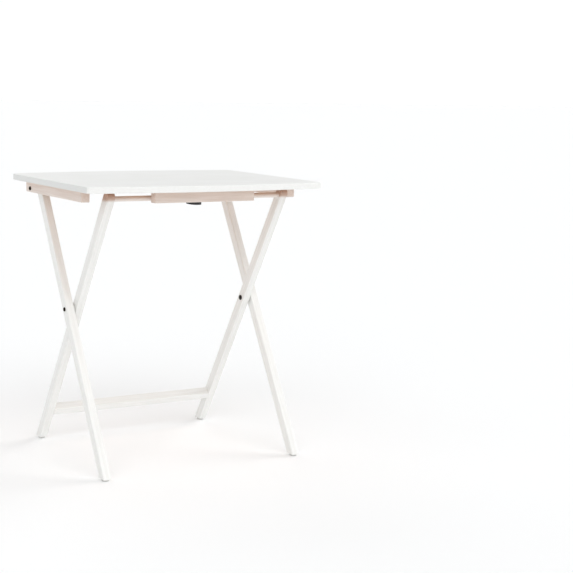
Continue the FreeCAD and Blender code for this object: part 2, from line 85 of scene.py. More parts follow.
class Shader:
    """A material's node tree, built by short calls. Sockets and numbers can both be given as inputs."""

    def __init__(self, name):
        self.material = bpy.data.materials.new(name)
        self.material.use_nodes = True
        self.tree = self.material.node_tree
        self.tree.nodes.clear()
        self.output = self.tree.nodes.new("ShaderNodeOutputMaterial")
        self.surface = self.tree.nodes.new("ShaderNodeBsdfPrincipled")
        self.tree.links.new(self.surface.outputs["BSDF"], self.output.inputs["Surface"])
        self.coordinates = self.tree.nodes.new("ShaderNodeTexCoord").outputs["Object"]

    def put(self, socket, value):
        if isinstance(value, bpy.types.NodeSocket):
            self.tree.links.new(value, socket)
        else:
            socket.default_value = value

    def set(self, **inputs):
        """Sets the Principled shader's inputs, with _ for each space in their names."""
        for name, value in inputs.items():
            self.put(self.surface.inputs[name.replace("_", " ")], value)

    def math(self, operation, first, second=0.0, third=0.0, clamp=False):
        node = self.tree.nodes.new("ShaderNodeMath")
        node.operation = operation
        node.use_clamp = clamp
        for socket, value in zip(node.inputs, (first, second, third)):
            self.put(socket, value)
        return node.outputs[0]

    def axes(self, vector=None):
        """The three parts of a vector, by default the place on the piece."""
        node = self.tree.nodes.new("ShaderNodeSeparateXYZ")
        self.put(node.inputs[0], vector or self.coordinates)
        return node.outputs

    def placed(self, turn=(0, 0, 0), scale=(1, 1, 1)):
        """The place on the piece, turned and then scaled."""
        turned = self.tree.nodes.new("ShaderNodeMapping")
        turned.inputs["Rotation"].default_value = turn
        self.put(turned.inputs["Vector"], self.coordinates)
        scaled = self.tree.nodes.new("ShaderNodeMapping")
        scaled.inputs["Scale"].default_value = scale
        self.put(scaled.inputs["Vector"], turned.outputs[0])
        return scaled.outputs[0]

    def noise(self, vector, scale, detail=2.0, roughness=0.5, distortion=0.0):
        node = self.tree.nodes.new("ShaderNodeTexNoise")
        self.put(node.inputs["Vector"], vector)
        node.inputs["Scale"].default_value = scale
        node.inputs["Detail"].default_value = detail
        node.inputs["Roughness"].default_value = roughness
        node.inputs["Distortion"].default_value = distortion
        return node.outputs["Fac"]

    def ramp(self, factor, low, high, start=0.0, end=1.0):
        """factor from low..high, stretched smoothly over start..end."""
        node = self.tree.nodes.new("ShaderNodeMapRange")
        node.interpolation_type = "SMOOTHSTEP"
        for name, value in (("Value", factor), ("From Min", low), ("From Max", high),
                            ("To Min", start), ("To Max", end)):
            self.put(node.inputs[name], value)
        return node.outputs[0]

    def mix(self, factor, first, second):
        node = self.tree.nodes.new("ShaderNodeMix")
        node.data_type = "RGBA"
        self.put(node.inputs["Factor"], factor)
        self.put(node.inputs[6], first)
        self.put(node.inputs[7], second)
        return node.outputs[2]

    def touch(self, base, tone, mask, share):
        """base, moved towards tone by share where mask is 1."""
        return self.mix(self.math("MULTIPLY", mask, share), base, tone)

    def bump(self, height, strength, distance, below=None):
        """A relief, laid over the relief below it if one is given."""
        node = self.tree.nodes.new("ShaderNodeBump")
        node.inputs["Strength"].default_value = strength
        node.inputs["Distance"].default_value = distance
        self.put(node.inputs["Height"], height)
        if below is not None:
            self.put(node.inputs["Normal"], below)
        return node.outputs[0]

    def edges(self, radius):
        """About 1 on the sharpest edges and 0 on flat faces."""
        flat, sharp = 0.995, 0.8  # how far the rounded normal still agrees with the face's own
        bevel = self.tree.nodes.new("ShaderNodeBevel")
        bevel.samples = 4
        bevel.inputs["Radius"].default_value = radius
        geometry = self.tree.nodes.new("ShaderNodeNewGeometry")
        product = self.tree.nodes.new("ShaderNodeVectorMath")
        product.operation = "DOT_PRODUCT"
        self.put(product.inputs[0], bevel.outputs[0])
        self.put(product.inputs[1], geometry.outputs["Normal"])
        return self.ramp(product.outputs["Value"], flat, sharp)


def colour(red, green, blue):
    """An sRGB colour, 0 to 255, as the linear colour that shaders take."""
    def linear(value):
        value = value / 255
        return value / 12.92 if value <= 0.04045 else ((value + 0.055) / 1.055) ** 2.4
    return (linear(red), linear(green), linear(blue), 1.0)


# ---- Meshes ----

CREASE_ANGLE = math.radians(38.0)


def facing(start, direction):
    """The matrix that puts +Z along direction, with the origin at start."""
    turn = Vector(direction).to_track_quat("Z", "Y")
    return Matrix.Translation(start) @ turn.to_matrix().to_4x4()


def around(radius, angle, height):
    """The point at an angle about +Z."""
    return Vector((radius * math.cos(angle), radius * math.sin(angle), height))


def ring(bm, place, segments, radius, height, ripple=0.0, waves=0):
    """A circle of vertices about +Z, or a single vertex where the radius is nothing, in metres.

    It can be rippled in a number of waves."""
    if radius < 1e-7:
        return [bm.verts.new(place @ Vector((0.0, 0.0, height)))]
    made = []
    for step in range(segments):
        angle = math.tau * step / segments
        reach = radius + ripple * math.cos(waves * angle)
        made.append(bm.verts.new(place @ around(reach, angle, height)))
    return made


def join_rings(bm, low, high):
    """Faces between two rings, either of which can be a single vertex."""
    count = max(len(low), len(high))
    for step in range(count):
        after = (step + 1) % count
        if len(low) == 1:
            bm.faces.new((low[0], high[after], high[step]))
        elif len(high) == 1:
            bm.faces.new((low[step], low[after], high[0]))
        else:
            bm.faces.new((low[step], low[after], high[after], high[step]))


def lathe(bm, place, profile, segments=32, closed=False, waves=0):
    """Turns a profile of (radius, height) or (radius, height, ripple) in millimetres about +Z."""
    rings = []
    for point in profile:
        radius, height, ripple = (list(point) + [0.0])[:3]
        rings.append(ring(bm, place, segments, radius * MM, height * MM, ripple * MM, waves))
    for low, high in zip(rings, rings[1:]):
        join_rings(bm, low, high)
    if closed:
        join_rings(bm, rings[-1], rings[0])


def thread(bm, place, low, high, pitch, core, crest, segments=24, taper=0.0):
    """A helical thread about +Z from low to high, in millimetres. Its core narrows by taper at high."""
    # One turn's section, as shares of the pitch and of the way from core to crest
    profile = ((0.0, 0.0), (0.3, 0.0), (0.5, 1.0), (0.6, 1.0), (0.8, 0.0))
    run_out = 0.6 * pitch
    turns = math.ceil((high - low) / pitch) + 1

    def vertex(part, step):
        share, lift = profile[part]
        height = low + pitch * (share + step / segments - 1.0)
        height = min(max(height, low), high)
        narrow = 1.0 - taper * ((height - low) / (high - low)) ** 3
        fade = min(1.0, (height - low) / pitch, (high - height) / run_out)
        radius = (core + (crest - core) * lift * fade) * narrow * MM
        return bm.verts.new(place @ around(radius, math.tau * step / segments, height * MM))

    parts = len(profile)
    grid = [[vertex(part, step) for step in range((turns + 2) * segments)] for part in range(parts)]
    for part in range(parts):
        for step in range((turns + 1) * segments - 1):
            if part + 1 < parts:
                above, shift = grid[part + 1], 0
            else:
                above, shift = grid[0], segments
            bm.faces.new((grid[part][step], grid[part][step + 1],
                          above[step + 1 + shift], above[step + shift]))


def loft(bm, levels):
    """A closed solid through levels, each a list of (x, y, z) in millimetres and all equally long."""
    loops = [[bm.verts.new(Vector(point) * MM) for point in level] for level in levels]
    for low, high in zip(loops, loops[1:]):
        join_rings(bm, low, high)
    bm.faces.new(list(reversed(loops[0])))
    bm.faces.new(loops[-1])


def finished_mesh(bm, name, weld=0.002 * MM):
    """Welds and tidies a mesh in the making, with crisp edges where faces meet at a clear angle."""
    bmesh.ops.remove_doubles(bm, verts=bm.verts, dist=weld)
    bmesh.ops.dissolve_degenerate(bm, edges=bm.edges, dist=weld / 2)
    loose = [vertex for vertex in bm.verts if not vertex.link_faces]
    bmesh.ops.delete(bm, geom=loose, context="VERTS")
    bmesh.ops.recalc_face_normals(bm, faces=bm.faces)
    mesh = bpy.data.meshes.new(name)
    bm.to_mesh(mesh)
    bm.free()
    return crisp(mesh)


def crisp(mesh):
    """Smooth shading, broken where faces meet at more than the crease angle."""
    mesh.polygons.foreach_set("use_smooth", [True] * len(mesh.polygons))
    mesh.set_sharp_from_angle(angle=CREASE_ANGLE)
    return mesh


def cut(mesh, cutter):
    """mesh with the closed mesh cutter taken out of it."""
    body = bpy.data.objects.new("body", mesh)
    tool = bpy.data.objects.new("tool", cutter)
    for item in (body, tool):
        bpy.context.scene.collection.objects.link(item)
    boolean = body.modifiers.new("cut", "BOOLEAN")
    boolean.operation = "DIFFERENCE"
    boolean.solver = "EXACT"
    boolean.object = tool
    bpy.context.view_layer.update()
    done = bpy.data.meshes.new_from_object(body.evaluated_get(bpy.context.evaluated_depsgraph_get()))
    done.name = mesh.name
    for item in (body, tool):
        bpy.data.objects.remove(item)
    return crisp(done)


def copies(mesh, places):
    """One mesh that holds a copy of mesh at each place."""
    bm = bmesh.new()
    for place in places:
        before = len(bm.verts)
        bm.from_mesh(mesh)
        bm.verts.ensure_lookup_table()
        bmesh.ops.transform(bm, matrix=place, verts=bm.verts[before:])
    joined = bpy.data.meshes.new(mesh.name)
    bm.to_mesh(joined)
    bm.free()
    return crisp(joined)


def add_piece(name, mesh, material, body, slot, *nodes):
    """Adds a finer piece that rides on body and stands for the CAD nodes."""
    mesh.materials.clear()
    mesh.materials.append(material)
    piece = bpy.data.objects.new(name, mesh)
    bpy.context.scene.collection.objects.link(piece)
    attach(piece, body)
    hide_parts(*nodes)


def cross_recess(depth, width):
    """A cross-head driver's recess at the origin, opening towards -Z, in millimetres."""
    # Height of a level, reach of its four arms and half their width
    sections = ((-0.5, width / 2 + 0.1, 0.62), (0.0, width / 2, 0.58), (depth, 0.65, 0.3))
    levels = []
    for height, reach, narrow in sections:
        outline = []
        for quarter in range(4):
            turn = Matrix.Rotation(math.tau * quarter / 4, 3, "Z")
            for x, y in ((reach, -narrow), (reach, narrow), (narrow, narrow)):
                outline.append(turn @ Vector((x, y, height)))
        levels.append(outline)
    bm = bmesh.new()
    loft(bm, levels)
    return finished_mesh(bm, "cross_recess")


def hexagon_recess(depth, across_flats):
    """A hexagon key's recess at the origin, opening towards -Z, in millimetres."""
    corner = across_flats / math.sqrt(3.0)
    levels = []
    for height, reach in ((-0.5, corner), (depth, corner), (depth + 0.5, 0.25 * corner)):
        levels.append([around(reach, math.tau * step / 6, height) for step in range(6)])
    bm = bmesh.new()
    loft(bm, levels)
    return finished_mesh(bm, "hexagon_recess")


def wood_screw():
    """A countersunk chipboard screw, head at the origin and point along +Z."""
    length, head, shank = 35.0, SCREW_HEAD_RADIUS / MM, 1.75
    core, crest, pitch = 1.35, 2.0, 1.8
    thread_start, thread_end, taper = 8.6, length - 0.8, 0.8
    bm = bmesh.new()
    lathe(bm, Matrix(), ((0, 0), (head - 0.3, 0), (head, 0.12), (head - 0.05, 0.3), (crest, 2.5),
                         (shank, 2.9), (shank, thread_start - 0.7), (core, thread_start)), segments=24)
    thread(bm, Matrix(), thread_start, thread_end, pitch, core, crest, taper=taper)
    lathe(bm, Matrix(), ((core * (1.0 - taper), thread_end), (0, length)), segments=24)
    return cut(finished_mesh(bm, "wood_screw"), cross_recess(depth=1.7, width=4.4))


def latch_screw():
    """The latch's round-headed screw: head from the origin, shank along +Z."""
    low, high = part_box("latch_screw")
    length, head_height, shank = (high[2] - low[2]) / MM, 2.4, 2.0
    core, pitch = 1.5, 1.7
    thread_start, thread_end, taper = 10.0, length - 0.8, 0.8
    bm = bmesh.new()
    lathe(bm, Matrix(), ((0, 0), (1.9, 0.02), (2.9, 0.25), (3.6, 0.8), (3.95, 1.6), (4.0, 2.2),
                         (3.9, head_height), (shank, head_height), (shank, thread_start - 0.6),
                         (core, thread_start)), segments=32)
    thread(bm, Matrix(), thread_start, thread_end, pitch, core, shank, segments=32, taper=taper)
    lathe(bm, Matrix(), ((core * (1.0 - taper), thread_end), (0, length)), segments=32)
    return cut(finished_mesh(bm, "latch_screw"), cross_recess(depth=1.5, width=4.2))


def joint_bolt(length):
    """A low button-head bolt with a hexagon socket, outer face at the origin and shank along +Z."""
    head_height, shank, core, pitch = 2.6, 3.0, 2.55, 1.0
    thread_start, thread_end = length - 7.9, length - 0.7
    bm = bmesh.new()
    lathe(bm, Matrix(), ((0, 0), (3.0, 0.0), (3.9, 0.22), (4.55, 0.75), (4.92, 1.5), (5.0, 2.2), (4.9, 2.5),
                         (4.7, head_height), (shank, head_height), (shank, thread_start - 0.5),
                         (core, thread_start)), segments=40)
    thread(bm, Matrix(), thread_start, thread_end, pitch, core, shank, segments=40)
    lathe(bm, Matrix(), ((core, thread_end), (2.0, length), (0, length)), segments=40)
    return cut(finished_mesh(bm, "joint_bolt"), hexagon_recess(depth=1.5, across_flats=4.0))


def sleeve_nut():
    """A flanged sleeve nut with a hexagon socket, flange at the origin and splined sleeve along +Z."""
    flange_height, length, bore, bore_floor, spline = 1.6, 13.6, 3.05, 4.6, 0.1
    bm = bmesh.new()
    lathe(bm, Matrix(), ((0, 0), (5.2, 0.0), (5.95, 0.12), (6.35, 0.45), (6.5, 0.95), (6.42, 1.45),
                         (6.2, flange_height), (4.5, flange_height), (4.5, 2.0), (4.38, 2.4, spline),
                         (4.38, length - 1.0, spline), (4.1, length - 0.2), (3.95, length),
                         (3.3, length), (bore, length - 0.3), (bore, bore_floor), (0, bore_floor)),
          segments=96, waves=24)
    return cut(finished_mesh(bm, "sleeve_nut"), hexagon_recess(depth=1.5, across_flats=4.0))


def soft_ring(outer, inner, thickness, ease, groove=0.0):
    """A ring about +Z from the origin with eased edges, and a groove round its rim if asked for."""
    half = thickness / 2
    mouth, floor_half = 0.7, 0.45  # half the groove's width at the rim and at its floor
    shoulder = 0.3 * ease
    profile = [(inner, ease), (inner + ease, 0), (outer - ease, 0), (outer - shoulder, shoulder),
               (outer, ease)]
    if groove:
        profile += [(outer, half - mouth), (outer - groove, half - floor_half),
                    (outer - groove, half + floor_half), (outer, half + mouth)]
    profile += [(outer, thickness - ease), (outer - shoulder, thickness - shoulder),
                (outer - ease, thickness), (inner + ease, thickness), (inner, thickness - ease)]
    bm = bmesh.new()
    lathe(bm, Matrix(), profile, segments=48, closed=True)
    return finished_mesh(bm, "soft_ring")


def foot_glide():
    """A moulded glide, sole at the origin: a dimple from the mould, a rounded rim and a step."""
    radius, neck, height = 8.5, 7.9, 5.0
    bm = bmesh.new()
    lathe(bm, Matrix(), ((0, 0.55), (1.4, 0.5), (2.2, 0.2), (2.5, 0.0), (6.6, 0.0), (7.4, 0.17), (8.05, 0.66),
                         (8.42, 1.3), (radius, 1.8), (radius, 3.3), (8.38, 3.5), (8.0, 3.6), (neck, 3.8),
                         (neck, height - 0.2), (7.7, height), (0, height)), segments=56)
    return finished_mesh(bm, "foot_glide")


def ringed_nail(head_radius, head_height, shank_radius, length):
    """A nail with a slightly domed head at the origin and a ringed shank along +Z."""
    profile = [(0, 0), (0.6 * head_radius, 0.04 * head_height), (0.9 * head_radius, 0.2 * head_height),
               (head_radius, 0.55 * head_height), (0.97 * head_radius, head_height),
               (1.3 * shank_radius, head_height), (shank_radius, 1.25 * head_height)]
    ring_pitch, ring_width = 0.8, 0.15
    height = 0.35 * length
    while height < 0.85 * length:
        profile += [(shank_radius, height), (0.82 * shank_radius, height + ring_width)]
        height += ring_pitch
    profile += [(0.9 * shank_radius, 0.88 * length), (0, length)]
    bm = bmesh.new()
    lathe(bm, Matrix(), profile, segments=20)
    return finished_mesh(bm, "nail")


def fluted_pin(length):
    """A glued pin with chamfered ends and flutes for the glue, from the origin along +Z."""
    radius, flute, tip = 3.86, 0.13, 3.0
    bm = bmesh.new()
    lathe(bm, Matrix(), ((0, 0), (tip, 0), (3.8, 1.1), (radius, 1.6, flute), (radius, length - 1.6, flute),
                         (3.8, length - 1.1), (tip, length), (0, length)), segments=96, waves=24)
    return finished_mesh(bm, "fluted_pin")


LATCH_CROWN_FROM_PIVOT = -5.0
LATCH_CROWN_RADIUS = 92.0
LATCH_RIM_ROUNDING = 1.2 * MM
LATCH_RIBS = 5


def latch_stations(left, right, radius, steps=14, straight_steps=8):
    """The x and half width of the latch's outline at stations from its left end to its right end."""
    quarter = [math.pi / 2 * step / steps for step in range(steps + 1)]
    stations = [(left - radius * math.cos(angle), radius * math.sin(angle)) for angle in quarter]
    for step in range(1, straight_steps):
        stations.append((left + (right - left) * step / straight_steps, radius))
    stations += [(right + radius * math.sin(angle), radius * math.cos(angle)) for angle in quarter]
    return stations


def latch_body(stations, middle_y, top_z, underside):
    """The latch without its hole and ribs: flat above, crowned below, with a rounded lower rim."""
    bm = bmesh.new()
    upper, lower = [], []
    for row, level in ((upper, lambda x: top_z), (lower, underside)):
        for x, half in stations:
            half = max(half, 0.01)
            row.append([bm.verts.new(Vector((x, middle_y + side * half, level(x))) * MM) for side in (-1, 1)])
    rim = []
    for here in range(len(stations) - 1):
        after = here + 1
        bm.faces.new((upper[here][0], upper[after][0], upper[after][1], upper[here][1]))
        bm.faces.new((lower[here][0], lower[here][1], lower[after][1], lower[after][0]))
        for side in (0, 1):
            bm.faces.new((upper[here][side], lower[here][side], lower[after][side], upper[after][side]))
            rim.append((lower[here][side], lower[after][side]))
    for end in (0, -1):
        bm.faces.new((upper[end][0], upper[end][1], lower[end][1], lower[end][0]))
        rim.append((lower[end][0], lower[end][1]))
    bmesh.ops.recalc_face_normals(bm, faces=bm.faces)
    edges = [bm.edges.get(pair) for pair in rim]
    bmesh.ops.bevel(bm, geom=edges, offset=LATCH_RIM_ROUNDING, segments=5, profile=0.5, affect="EDGES",
                    clamp_overlap=True)
    return finished_mesh(bm, "turn_latch", weld=0.03 * MM)


def latch_bore(mouth):
    """The counterbored screw hole to cut out, with an eased mouth at the given point."""
    counterbore, depth, hole, beyond = 5.0, 3.6, 2.1, 8.0
    eased = counterbore + 0.15
    bm = bmesh.new()
    lathe(bm, Matrix.Translation(mouth * MM), ((0, -1.0), (eased, -1.0), (eased, 0.1), (counterbore, 0.3),
                                               (counterbore, depth), (hole, depth), (hole, beyond),
                                               (0, beyond)), segments=48)
    return finished_mesh(bm, "bore")


def turn_latch():
    """The moulded latch in its place: oblong, crowned below, with grip ribs and a counterbored screw hole."""
    low, high = (Vector(corner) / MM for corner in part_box("turn_latch"))
    pivot = Vector(JOINTS["latch_turn"]["pos_m"]) / MM
    radius = (high.y - low.y) / 2
    left, right = low.x + radius, high.x - radius
    crown_x = pivot.x + LATCH_CROWN_FROM_PIVOT

    def underside(x):
        return low.z + LATCH_CROWN_RADIUS - math.sqrt(LATCH_CROWN_RADIUS ** 2 - (x - crown_x) ** 2)

    button = latch_body(latch_stations(left, right, radius), pivot.y, high.z, underside)
    button = cut(button, latch_bore(Vector((pivot.x, pivot.y, low.z))))

    # The grip ribs are thin rods with rounded ends, laid across the left end and half sunk into it
    first_rib, rib_pitch, rib, rib_end, margin = 3.2, 1.9, 0.45, 0.25, 2.2
    bm = bmesh.new()
    bm.from_mesh(button)
    for number in range(LATCH_RIBS):
        x = left - first_rib + rib_pitch * number
        reach = math.sqrt(max(radius ** 2 - max(left - x, 0.0) ** 2, 0.0)) - margin
        start = Vector((x, pivot.y - reach, underside(x) + 0.12)) * MM
        capsule = ((0, -rib), (rib_end, -0.38), (rib, 0.0), (rib, 2 * reach), (rib_end, 2 * reach + 0.38),
                   (0, 2 * reach + rib))
        lathe(bm, facing(start, (0, 1, 0)), capsule, segments=12)
    bmesh.ops.recalc_face_normals(bm, faces=bm.faces)
    mesh = bpy.data.meshes.new("turn_latch")
    bm.to_mesh(mesh)
    bm.free()
    return crisp(mesh)


def middle_of(node):
    """The middle of a node's box."""
    low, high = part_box(node)
    return (Vector(low) + Vector(high)) / 2


def on_both_sides(x, y, z):
    """A point and its mirror image, left one first."""
    return [Vector((side * x, y, z)) for side in (-1, 1)]


def add_bolts(material):
    """Bolt heads and shanks, and the sleeve nuts that they screw into."""
    for joint, body in (("pivot", "pivot_bolts"), ("cross", "outer_legs")):
        for side, inward in (("left", 1), ("right", -1)):
            bolt, nut = f"{side}_{joint}_bolt", f"{side}_{joint}_nut"
            low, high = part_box(bolt)
            outer_x = low[0] if inward > 0 else high[0]
            centre = middle_of(bolt)
            mesh = joint_bolt((high[0] - low[0]) / MM)
            mesh.transform(facing((outer_x, centre.y, centre.z), (inward, 0, 0)))
            add_piece(bolt + "_threaded", mesh, material, body, "dark_steel", bolt)
            low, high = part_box(nut)
            flange_x = high[0] if inward > 0 else low[0]
            mesh = sleeve_nut()
            mesh.transform(facing((flange_x, centre.y, centre.z), (-inward, 0, 0)))
            add_piece(nut + "_splined", mesh, material, body, "dark_steel", nut)


def add_rings(zinc, nylon):
    """Washers at the back pivots and under the latch's screw, and the spacers at the crossings."""
    joint_bore, screw_bore = 3.05, 2.05
    disc = soft_ring(8.0, joint_bore, PIVOT_WASHER_THICKNESS / MM, 0.25)
    centre = middle_of("pivot_washers")
    inner_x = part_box("pivot_washers")[1][0] - PIVOT_WASHER_THICKNESS
    places = [facing((side * inner_x, centre.y, centre.z), (side, 0, 0)) for side in (-1, 1)]
    add_piece("pivot_washers_stamped", copies(disc, places), zinc, "pivot_bolts", "zinc_steel",
              "pivot_washers")
    low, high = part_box("latch_washer")
    disc = soft_ring(4.7, screw_bore, (high[2] - low[2]) / MM, 0.2)
    centre = middle_of("latch_washer")
    disc.transform(Matrix.Translation((centre.x, centre.y, low[2])))
    add_piece("latch_washer_stamped", disc, zinc, "top", "zinc_steel", "latch_washer")
    for side in ("left", "right"):
        node = side + "_cross_spacer"
        low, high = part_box(node)
        radius, thickness = (high[2] - low[2]) / 2 / MM, (high[0] - low[0]) / MM
        disc = soft_ring(radius, joint_bore, thickness, 0.5, groove=0.6)
        centre = middle_of(node)
        disc.transform(facing((low[0], centre.y, centre.z), (1, 0, 0)))
        add_piece(node + "_grooved", disc, nylon, "outer_legs", "grey_plastic", node)


def add_screws(zinc):
    """The countersunk screws under the rails and the latch's screw."""
    screw = wood_screw()
    for node, rows in (("cleat_screws", 3), ("block_screws", 1)):
        low, high = (Vector(corner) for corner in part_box(node))
        first, last = low.y + SCREW_HEAD_RADIUS, high.y - SCREW_HEAD_RADIUS
        places = []
        for side in (-1, 1):
            for row in range(rows):
                y = first + (last - first) * row / max(rows - 1, 1)
                places.append(Matrix.Translation((side * (high.x - SCREW_HEAD_RADIUS), y, low.z)))
        add_piece(node + "_threaded", copies(screw, places), zinc, "top", "zinc_steel", node)
    centre = middle_of("latch_screw")
    mesh = latch_screw()
    mesh.transform(Matrix.Translation((centre.x, centre.y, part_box("latch_screw")[0][2])))
    add_piece("latch_screw_threaded", mesh, zinc, "top", "zinc_steel", "latch_screw")


def add_feet(plastic_material, zinc):
    """A moulded glide under each foot and the nail that holds it."""
    for end, body in (("front", "outer_legs"), ("back", "inner_legs")):
        centres = []
        for side in ("left", "right"):
            node = f"{side}_{end}_glide"
            centre = middle_of(node)
            centres.append((centre.x, centre.y))
            mesh = foot_glide()
            mesh.transform(Matrix.Translation((centre.x, centre.y, 0.0)))
            add_piece(node + "_moulded", mesh, plastic_material, body, "grey_plastic", node)
        node = end + "_glide_nails"
        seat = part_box(node)[0][2]
        nail = ringed_nail(head_radius=3.5, head_height=1.2, shank_radius=1.25, length=20.0)
        places = [Matrix.Translation((x, y, seat)) for x, y in centres]
        add_piece(node + "_ringed", copies(nail, places), zinc, body, "zinc_steel", node)


def add_wood_pins(raw, painted_nails):
    """The pins in the stretcher's ends and the brads in the dowel's ends."""
    down_and_forward = Vector((0.0, -math.cos(LEG_LEAN), -math.sin(LEG_LEAN)))
    outer_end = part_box("stretcher_pins")[1][0]
    middle = middle_of("stretcher_pins")
    pin = fluted_pin(length=30.0)
    places = []
    for side in (-1, 1):
        for row in (-1, 1):
            centre = middle + down_and_forward * (row * PIN_HALF_SPACING)
            places.append(facing((side * outer_end, centre.y, centre.z), (-side, 0, 0)))
    add_piece("stretcher_pins_fluted", copies(pin, places), raw, "inner_legs", "raw_wood", "stretcher_pins")
    brad = ringed_nail(head_radius=BRAD_HEAD_RADIUS / MM, head_height=0.8, shank_radius=0.8, length=20.0)
    brad_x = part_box("dowel_brads")[1][0] - BRAD_HEAD_RADIUS
    places = [facing(point - down_and_forward * LEG_HALF_WIDTH, down_and_forward)
              for point in on_both_sides(brad_x, -BACK_PIVOT.y, BACK_PIVOT.z)]
    add_piece("dowel_brads_ringed", copies(brad, places), painted_nails, "inner_legs", "zinc_steel",
              "dowel_brads")


# ---- Materials ----

# Noise scales are in waves per metre, and the ramps' limits are shares of a noise's range from 0 to 1.

WHITE_PAINT = colour(241, 241, 239)
PAINT_IN_PORES = colour(224, 223, 218)
PAINT_ON_EDGES = colour(230, 226, 218)
# The rails' and dowel's white is warmer and darker than the legs': a thinner coat, plus painted shade for the
# shade and brown bounce light under the top.
RAIL_PAINT_AND_SHADE = colour(235, 226, 219)
RAIL_PORES_AND_SHADE = colour(214, 199, 188)
EDGE_PAINT = colour(236, 236, 234)
# The short sides' edges: dull edge paint, darkened further as painted shade, as on the left edge that gets
# less light.
SHORT_SIDE_PAINT_AND_SHADE = colour(220, 221, 219)
# Painted shade: the warm brown that the inner legs' crowns take in the shade and brown bounce under the top.
CROWN_PAINTED_SHADE = colour(176, 132, 102)
BOARD_DARK = colour(172, 122, 84)
BOARD_LIGHT = colour(205, 158, 116)
BOARD_SPECKS = colour(128, 84, 52)
BOARD_DUST = colour(214, 170, 132)
BEECH = colour(205, 166, 118)
BEECH_BANDS = colour(176, 132, 86)
BEECH_PORES = colour(120, 82, 48)
RUBBED_PLASTIC = colour(150, 150, 148)


def grain_heights(shader, turn, stretch_axis):
    """Fine wood pores and broader growth bands, both drawn out along the grain."""
    fine, broad = [1.0, 1.0, 1.0], [1.0, 1.0, 1.0]
    fine[stretch_axis], broad[stretch_axis] = 0.03, 0.05
    pores = shader.noise(shader.placed(turn, fine), 900.0, detail=3.0, roughness=0.6)
    bands = shader.noise(shader.placed(turn, broad), 170.0, detail=3.0, roughness=0.55, distortion=0.4)
    return pores, bands


def painted_wood(name, turn, stretch_axis, paint=WHITE_PAINT, in_pores=PAINT_IN_PORES, cover=1.0,
                 painted_shade_z=None):
    """Satin lacquer that lets a little of the grain show through, the more so the less it covers.

    Above a given height it fades to a warm brown: painted shade for the shade and brown bounce light under
    the top, as on the crowns of the inner legs."""
    shader = Shader(name)
    pores, bands = grain_heights(shader, turn, stretch_axis)
    deep = shader.ramp(pores, 0.38, 0.30)
    broad = shader.ramp(bands, 0.35, 0.65)
    soft = shader.noise(shader.placed(), 14.0, detail=2.0)
    tint = shader.math("MULTIPLY_ADD", broad, 0.30 / cover, shader.math("MULTIPLY", soft, 0.20))
    tint = shader.math("MULTIPLY_ADD", deep, 0.35 / cover, tint, clamp=True)
    base = shader.mix(tint, paint, in_pores)
    base = shader.touch(base, PAINT_ON_EDGES, shader.edges(1.2 * MM), 0.45)
    # Painted shade: warm brown fading in towards the top of the piece, for the shade and brown bounce under
    # the top.
    if painted_shade_z is not None:
        height = shader.math("MULTIPLY_ADD", soft, 5.0 * MM, shader.axes()[2])
        base = shader.touch(base, CROWN_PAINTED_SHADE, shader.ramp(height, painted_shade_z, painted_shade_z + 9.0 * MM), 0.75)
    peel = shader.noise(shader.placed(), 650.0, detail=2.0)
    relief = shader.bump(bands, 0.25, 0.12 * MM)
    relief = shader.bump(deep, -0.35, 0.06 * MM, relief)
    relief = shader.bump(peel, 0.22, 0.05 * MM, relief)
    shader.set(Base_Color=base, Roughness=shader.ramp(bands, 0.2, 0.8, 0.40, 0.52), Normal=relief)
    shader.set(Specular_IOR_Level=0.45, Coat_Weight=0.12, Coat_Roughness=0.3)
    return shader.material


